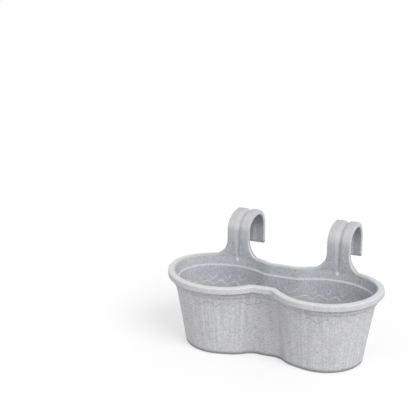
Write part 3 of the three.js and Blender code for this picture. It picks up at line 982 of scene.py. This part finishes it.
def stone_polypropylene(finishes, relief):
    """Polypropylene, filled and moulded in an eroded mould. The eye gets a dull, dry surface with a fine
    grain of darker specks, soft clouds, and streaks down the wall where the melt ran, under painted
    highlights and painted shade."""
    material, tree, output = new_material("Polypropylene, moulded stone effect")
    times = {"operation": "MULTIPLY"}
    less = {"operation": "SUBTRACT"}
    larger = {"operation": "MAXIMUM"}
    unsigned = {"operation": "ABSOLUTE"}
    place = add_node(tree, "ShaderNodeTexCoord").outputs["Object"]
    height = add_node(tree, "ShaderNodeSeparateXYZ", links={0: place}).outputs["Z"]
    flow = add_node(tree, "ShaderNodeAttribute", {"attribute_name": "flow"}).outputs["Vector"]

    # What the skin stores: zones has the inside, a painted highlight and the outer wall, marks the
    # scallops and the arches, and the last the painted shade and how coarse the grain is
    skin = []
    for name in ("zones", "marks", "shade_and_grain"):
        stored = add_node(tree, "ShaderNodeAttribute", {"attribute_name": name}).outputs["Vector"]
        skin.append(add_node(tree, "ShaderNodeSeparateXYZ", links={0: stored}).outputs)
    zone, mark, tone = skin

    # Grain of the filler, clouds in the skin, streaks down the wall and patches where the streaks and
    # the marks come out more strongly
    stretched = add_node(
        tree, "ShaderNodeMapping", {"Scale": (1, 1, 1 / STREAK_STRETCH)}, {"Vector": flow}
    ).outputs["Vector"]
    noises = []
    for pattern_size, detail, roughness, vector in (
        (GRAIN_SIZE, 2, 0.55, place),
        (CLOUD_SIZE, 4, 0.6, place),
        (STREAK_SIZE, 2, 0.5, stretched),
        (PATCH_SIZE, 1, 0.5, place),
    ):
        noise = {"Scale": pattern_scale(pattern_size), "Detail": detail, "Roughness": roughness}
        noises.append(add_node(tree, "ShaderNodeTexNoise", noise, {"Vector": vector}).outputs["Fac"])
    grain, clouds, streaks, patches = noises

    # The lower edges of the scallops are drawn inside as thin lines of painted highlight. Below them runs
    # a row of arches, drawn with painted highlight inside and painted shadow outside. Heights and widths
    # are in metres.
    hung = add_node(
        tree, "ShaderNodeMath",
        {"operation": "MULTIPLY_ADD", 1: -relief.drop, 2: relief.line}, {0: mark["X"]},
    ).outputs[0]
    feet = add_node(
        tree, "ShaderNodeMath",
        {"operation": "MULTIPLY_ADD", 1: relief.row - relief.arches, 2: relief.arches}, {0: zone["X"]},
    ).outputs[0]
    arched = add_node(
        tree, "ShaderNodeMath", {"operation": "MULTIPLY_ADD", 1: relief.rise}, {0: mark["Y"], 2: feet}
    ).outputs[0]
    distances = []
    for line in (hung, arched):
        above = add_node(tree, "ShaderNodeMath", less, {0: line, 1: height}).outputs[0]
        distances.append(add_node(tree, "ShaderNodeMath", unsigned, {0: above}).outputs[0])

    # Smooth ramps. Each row says what it reads, between which two values it runs and what it gives
    # there: the scallops' lines, the arches' lines, the hanging part of a scallop, where a line is
    # whole, where the streaks and marks are strong, the specks, the clouds and the streaks
    width = relief.mark
    ramps = []
    for source, low, high, first, last in (
        (distances[0], 0.4 * width, 1.3 * width, 1, 0),
        (distances[1], 0.4 * width, 1.4 * width, 0.8, 0),
        (mark["X"], 0.5, 0.72, 0, 1),
        (clouds, 0.38, 0.51, 0.25, 1),
        (patches, 0.38, 0.62, 0.4, 1),
        (grain, 0.45, 0.68, 0, 0.95),
        (clouds, 0.3, 0.7, 0.965, 1.035),
        (streaks, 0.3, 0.7, -0.09, 0.09),
    ):
        ramp = {"interpolation_type": "SMOOTHSTEP", "From Min": low, "From Max": high}
        ramp.update({"To Min": first, "To Max": last})
        ramps.append(add_node(tree, "ShaderNodeMapRange", ramp, {"Value": source}).outputs["Result"])
    drawn, arches, hanging, whole, strong, specks, cloudy, streak = ramps

    # Lines of the scallops and the arches, all broken: painted highlight inside, painted shadow outside
    held = add_node(tree, "ShaderNodeMath", times, {0: drawn, 1: hanging}).outputs[0]
    broken = add_node(tree, "ShaderNodeMath", times, {0: arches, 1: strong}).outputs[0]
    either = add_node(tree, "ShaderNodeMath", larger, {0: held, 1: broken}).outputs[0]
    marked = add_node(tree, "ShaderNodeMath", times, {0: either, 1: whole}).outputs[0]
    highlight_line = add_node(tree, "ShaderNodeMath", times, {0: marked, 1: zone["X"]}).outputs[0]
    dark = add_node(tree, "ShaderNodeMath", times, {0: broken, 1: whole}).outputs[0]
    arch_shadow_line = add_node(tree, "ShaderNodeMath", times, {0: dark, 1: zone["Z"]}).outputs[0]

    # Two greys, with darker grains in them
    ground = add_node(
        tree, "ShaderNodeMix",
        {"data_type": "RGBA", 6: (*finishes.outside, 1), 7: (*finishes.inside, 1)}, {"Factor": zone["X"]},
    ).outputs[2]
    share = add_node(tree, "ShaderNodeMath", times, {0: specks, 1: tone["Y"]}).outputs[0]
    speckled = add_node(
        tree, "ShaderNodeMix", {"data_type": "RGBA", 7: (*finishes.dark_grain, 1)},
        {"Factor": share, 6: ground},
    ).outputs[2]

    # Brightness of the skin: clouds, streaks where the melt ran, painted shade in the hollows and the
    # arches' lines of painted shadow
    streaked = add_node(tree, "ShaderNodeMath", times, {0: streak, 1: strong}).outputs[0]
    run = add_node(
        tree, "ShaderNodeMath", {"operation": "MULTIPLY_ADD"}, {0: streaked, 1: zone["Z"], 2: cloudy}
    ).outputs[0]
    painted_shade = add_node(
        tree, "ShaderNodeMath", {"operation": "MULTIPLY_ADD", 1: ARCH_SHADOW}, {0: arch_shadow_line, 2: tone["X"]}
    ).outputs[0]
    dimmed = add_node(
        tree, "ShaderNodeMath", {"operation": "MULTIPLY_ADD", 1: -SHADE_LEVEL, 2: 1}, {0: painted_shade}
    ).outputs[0]
    level = add_node(tree, "ShaderNodeMath", times, {0: run, 1: dimmed}).outputs[0]
    # Painted highlight: the pale colour on the rim's top, the ledge, the moulding mark and the lines
    # inside; the level then lays the painted shade
    pale = add_node(tree, "ShaderNodeMath", larger, {0: zone["Y"], 1: highlight_line}).outputs[0]
    edged = add_node(
        tree, "ShaderNodeMix", {"data_type": "RGBA", 7: (*finishes.highlight_colour, 1)},
        {"Factor": pale, 6: speckled},
    ).outputs[2]
    toned = add_node(
        tree, "ShaderNodeVectorMath", {"operation": "SCALE"}, {0: edged, "Scale": level}
    ).outputs["Vector"]

    # The eroded mould leaves pits about 0.1 mm deep
    pits = add_node(
        tree, "ShaderNodeBump", {"Strength": 0.55, "Distance": 0.25 * MM}, {"Height": grain}
    ).outputs["Normal"]
    dullness = add_node(
        tree, "ShaderNodeMapRange",
        {"From Min": 0.3, "From Max": 0.7, "To Min": 0.68, "To Max": 0.86}, {"Value": grain},
    ).outputs["Result"]
    shader = add_node(
        tree, "ShaderNodeBsdfPrincipled", {"IOR": 1.49},
        {"Base Color": toned, "Roughness": dullness, "Normal": pits},
    )
    tree.links.new(shader.outputs[0], output.inputs["Surface"])
    return material


def soft_plug_plastic(finishes):
    """Thermoplastic elastomer, moulded in a fine satin mould. The eye gets an even dark grey with a
    soft, slightly mottled sheen."""
    material, tree, output = new_material("Thermoplastic elastomer, moulded satin")
    place = add_node(tree, "ShaderNodeTexCoord").outputs["Object"]
    # Satin grain of the mould
    grain = add_node(
        tree, "ShaderNodeTexNoise",
        {"Scale": pattern_scale(SATIN_SIZE), "Detail": 2, "Roughness": 0.5}, {"Vector": place},
    ).outputs["Fac"]
    level = add_node(
        tree, "ShaderNodeMapRange",
        {"From Min": 0.3, "From Max": 0.7, "To Min": 0.9, "To Max": 1.1}, {"Value": grain},
    ).outputs["Result"]
    toned = add_node(
        tree, "ShaderNodeVectorMath", {"operation": "SCALE", 0: finishes.plug}, {"Scale": level}
    ).outputs["Vector"]
    bump = add_node(
        tree, "ShaderNodeBump", {"Strength": 0.3, "Distance": 0.05 * MM}, {"Height": grain}
    ).outputs["Normal"]
    shader = add_node(
        tree, "ShaderNodeBsdfPrincipled", {"IOR": 1.5, "Roughness": 0.55},
        {"Base Color": toned, "Normal": bump},
    )
    tree.links.new(shader.outputs[0], output.inputs["Surface"])
    return material


def dress(piece, name, material):
    """Names a finished piece, smooths it and gives it its material."""
    piece.name = name
    piece.data.name = name
    piece.data.materials.clear()
    piece.data.materials.append(material)
    deselect_all()
    piece.select_set(True)
    bpy.context.view_layer.objects.active = piece
    bpy.ops.object.shade_smooth_by_angle(angle=SMOOTH_ANGLE)
    piece.select_set(False)


class PLANTER_OT_moulding(bpy.types.Operator):
    """Build the double pot and its two hooks as the one moulding that they are"""

    bl_idname = "planter.moulding"
    bl_label = "Pot and Hooks"

    def execute(self, context):
        scene = context.scene
        moulding = Moulding(scene.planter_pot, scene.planter_hook, scene.planter_relief)
        piece = floor_plate(moulding)
        bpy.ops.object.mode_set(mode="EDIT")
        bpy.ops.mesh.select_mode(type="EDGE")
        open_plate_edge(piece, moulding)
        for row in range(1, len(moulding.rings)):
            extrude_ring(piece, row, "row", lambda old_row, index: moulding.place(row, index))
        close_on_floor(piece)
        for side in (-1, 1):
            grow_hook(piece, moulding, side)
        bpy.ops.mesh.select_all(action="SELECT")
        bpy.ops.mesh.normals_make_consistent(inside=False)
        bpy.ops.object.mode_set(mode="OBJECT")
        paint_skin(piece, moulding)
        material = stone_polypropylene(scene.planter_finishes, scene.planter_relief)
        dress(piece, "planter_moulding", material)
        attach(piece, "planter")
        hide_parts("double_pot", "hook_left", "hook_right")
        return {"FINISHED"}


def select_cap(piece):
    """Selects the uppermost flat face of a piece in edit mode."""
    bpy.ops.mesh.select_all(action="DESELECT")
    bm = bmesh.from_edit_mesh(piece.data)
    bm.faces.ensure_lookup_table()
    cap = max(bm.faces, key=lambda f: (round(f.calc_center_median().z, PLATE_DIGITS), f.normal.z))
    cap.select_set(True)
    bmesh.update_edit_mesh(piece.data)


def widen(share):
    """Scales what is selected about its own middle, seen from above."""
    bpy.ops.transform.resize(value=(share, share, 1))


class PLANTER_OT_plugs(bpy.types.Operator):
    """Build the push-in plug of each drain hole"""

    bl_idname = "planter.plugs"
    bl_label = "Drain Plugs"

    def execute(self, context):
        sizes = context.scene.planter_plug
        pot = context.scene.planter_pot
        material = soft_plug_plastic(context.scene.planter_finishes)
        shank = pot.drain_radius - sizes.clearance
        head = (PLUG_HIGH.x - PLUG_LOW.x) / 2
        under = pot.floor_top + sizes.clearance
        middle_left, middle_right = pot_middles()
        deselect_all()
        bpy.ops.mesh.primitive_cylinder_add(
            vertices=CIRCLE_STEPS, radius=shank, depth=under - PLUG_LOW.z,
            location=(*middle_left, (under + PLUG_LOW.z) / 2),
        )
        plug = bpy.context.object
        bpy.ops.object.transform_apply(location=True, rotation=True, scale=True)
        bpy.ops.object.mode_set(mode="EDIT")
        bpy.ops.mesh.select_mode(type="FACE")
        select_cap(plug)
        bpy.ops.mesh.extrude_region_move()
        widen(head / shank)
        bpy.ops.mesh.extrude_region_move(TRANSFORM_OT_translate={"value": (0, 0, sizes.head_thickness)})
        slope = GRIP_SLOPE * sizes.edge
        bpy.ops.mesh.inset(thickness=head - sizes.grip_radius - slope)
        bpy.ops.mesh.inset(thickness=slope)
        rise = PLUG_HIGH.z - under - sizes.head_thickness
        bpy.ops.mesh.extrude_region_move(TRANSFORM_OT_translate={"value": (0, 0, rise)})
        bpy.ops.object.mode_set(mode="OBJECT")
        bevel = plug.modifiers.new("Edges", "BEVEL")
        bevel.width = sizes.edge
        bevel.segments = BEVEL_STEPS
        bevel.limit_method = "ANGLE"
        bevel.angle_limit = BEVEL_ANGLE
        bpy.ops.object.modifier_apply(modifier=bevel.name)
        other = add_object("drain_plug_right_soft", plug.data.copy())
        other.data.transform(Matrix.Translation((middle_right[0] - middle_left[0], 0, 0)))
        for piece, side in ((plug, "left"), (other, "right")):
            dress(piece, "soft_drain_plug_" + side, material)
            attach(piece, "plug_" + side)
            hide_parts("drain_plug_" + side)
        return {"FINISHED"}


def floor_material(stage):
    """Painted board. The camera sees it white, with the planter's shadow kept faint on it."""
    material, tree, output = new_material("Painted board, matt")
    rays = add_node(tree, "ShaderNodeLightPath").outputs
    board = add_node(tree, "ShaderNodeBsdfDiffuse", {"Color": (*stage.floor_colour, 1)}).outputs[0]
    white = add_node(tree, "ShaderNodeEmission", {"Strength": 1}).outputs[0]
    seen = add_node(
        tree, "ShaderNodeMath",
        {"operation": "MULTIPLY", 1: FLOOR_WHITENESS}, {0: rays["Is Camera Ray"]},
    ).outputs[0]
    mixed = add_node(tree, "ShaderNodeMixShader", links={0: seen, 1: board, 2: white}).outputs[0]
    tree.links.new(mixed, output.inputs["Surface"])
    return material


def light_world(strength):
    """Even light from all round. The camera and reflections see it white."""
    world = bpy.data.worlds.new("Studio")
    bpy.context.scene.world = world
    world.use_nodes = True
    tree = world.node_tree
    tree.nodes.clear()
    rays = add_node(tree, "ShaderNodeLightPath").outputs
    light, white = (
        add_node(tree, "ShaderNodeBackground", {"Color": (1, 1, 1, 1), "Strength": value}).outputs[0]
        for value in (strength, 1)
    )
    seen = rays["Is Camera Ray"]
    for ray in ("Is Glossy Ray", "Is Transmission Ray"):
        seen = add_node(
            tree, "ShaderNodeMath", {"operation": "ADD", "use_clamp": True}, {0: seen, 1: rays[ray]}
        ).outputs[0]
    mixed = add_node(tree, "ShaderNodeMixShader", links={0: seen, 1: light, 2: white}).outputs[0]
    output = tree.nodes.new("ShaderNodeOutputWorld")
    tree.links.new(mixed, output.inputs["Surface"])


def looking_from(azimuth, elevation):
    """The turn of a light or camera that stands right of the front by the azimuth and up by the
    elevation, and looks at the planter."""
    level = math.cos(elevation)
    away = Vector((math.sin(azimuth) * level, -math.cos(azimuth) * level, math.sin(elevation)))
    return away.to_track_quat("Z", "Y").to_euler()


def add_object(name, data):
    """Puts an object with this data into the scene."""
    thing = bpy.data.objects.new(name, data)
    bpy.context.collection.objects.link(thing)
    return thing


class PLANTER_OT_stage(bpy.types.Operator):
    """Set the floor, the light and the camera"""

    bl_idname = "planter.stage"
    bl_label = "Stage"

    def execute(self, context):
        stage = context.scene.planter_stage
        deselect_all()
        bpy.ops.mesh.primitive_plane_add(size=FLOOR_SIZE, location=(0, 0, 0))
        floor = bpy.context.object
        floor.name = "floor"
        floor.data.materials.append(floor_material(stage))
        light_world(stage.sky_strength)
        key_data = bpy.data.lights.new("key", "SUN")
        key_data.energy = stage.key_strength
        key_data.angle = stage.key_width
        key = add_object("key", key_data)
        key.rotation_euler = looking_from(stage.key_azimuth, stage.key_elevation)
        camera_data = bpy.data.cameras.new("camera")
        camera_data.lens = stage.lens
        camera = add_object("camera", camera_data)
        camera.location = stage.camera_place
        camera.rotation_euler = looking_from(stage.camera_azimuth, stage.camera_elevation)
        context.scene.camera = camera
        context.scene.view_settings.view_transform = "Standard"
        return {"FINISHED"}


class PLANTER_PT_panel(bpy.types.Panel):
    """Lists the planter's pieces and sizes"""

    bl_idname = "PLANTER_PT_panel"
    bl_label = "Balcony Planter"
    bl_space_type = "VIEW_3D"
    bl_region_type = "UI"
    bl_category = "Planter"

    def draw(self, context):
        layout = self.layout
        for operator in OPERATORS:
            layout.operator(operator.bl_idname)
        for name, group in GROUPS.items():
            box = layout.box()
            box.label(text=group.__doc__.split(".")[0])
            for key in group.__annotations__:
                box.prop(getattr(context.scene, name), key)


GROUPS = {
    "planter_pot": PlanterPotSizes,
    "planter_hook": PlanterHookSizes,
    "planter_relief": PlanterReliefSizes,
    "planter_plug": PlanterPlugSizes,
    "planter_finishes": PlanterFinishes,
    "planter_stage": PlanterStage,
}
OPERATORS = (PLANTER_OT_stage, PLANTER_OT_moulding, PLANTER_OT_plugs)
CLASSES = (*GROUPS.values(), *OPERATORS, PLANTER_PT_panel)


def register():
    """Registers the classes and gives the scene its settings."""
    for item in CLASSES:
        bpy.utils.register_class(item)
    for name, group in GROUPS.items():
        setattr(bpy.types.Scene, name, PointerProperty(type=group))


def unregister():
    """Takes the settings and the classes away again."""
    for name in GROUPS:
        delattr(bpy.types.Scene, name)
    for item in reversed(CLASSES):
        bpy.utils.unregister_class(item)


def main():
    """Builds the stage and the pieces."""
    register()
    bpy.ops.planter.stage()
    bpy.ops.planter.moulding()
    bpy.ops.planter.plugs()


if __name__ == "__main__":
    main()
